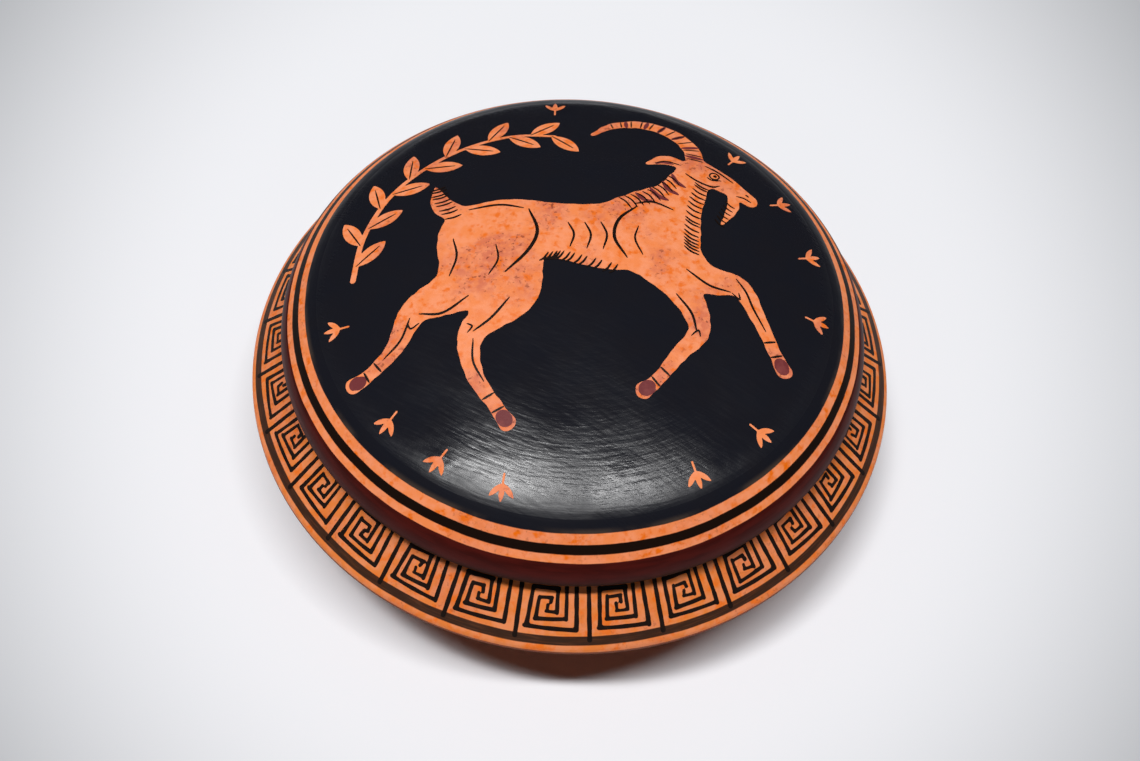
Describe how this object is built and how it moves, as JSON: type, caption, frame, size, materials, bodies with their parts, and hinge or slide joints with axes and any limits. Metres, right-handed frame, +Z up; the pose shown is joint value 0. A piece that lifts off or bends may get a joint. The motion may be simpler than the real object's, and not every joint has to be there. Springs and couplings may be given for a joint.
{
  "type": "pyxis",
  "caption": "Round lidded clay box: carinated bowl on a ring foot with a sloping painted shoulder, and a low domed lid with a rounded overhanging rim and a locating flange.",
  "frame": {"origin": "centre of the ring foot's resting face, on the vessel's axis", "axes": "+Z up along the vessel's axis, the way the lid lifts; X and Y are radial"},
  "size_m": [0.18, 0.18, 0.0742],
  "materials": {
    "bowl_clay": "satin",
    "lid_glaze": "semi-gloss"
  },
  "bodies": {
    "bowl": {"bowl": "bowl_clay"},
    "lid": {"lid": "lid_glaze"}
  },
  "joints": [
    {"name": "lid_lift", "type": "slide", "parent": "bowl", "child": "lid", "axis": [0, 0, 1], "range_m": [0, 0.06]}
  ]
}
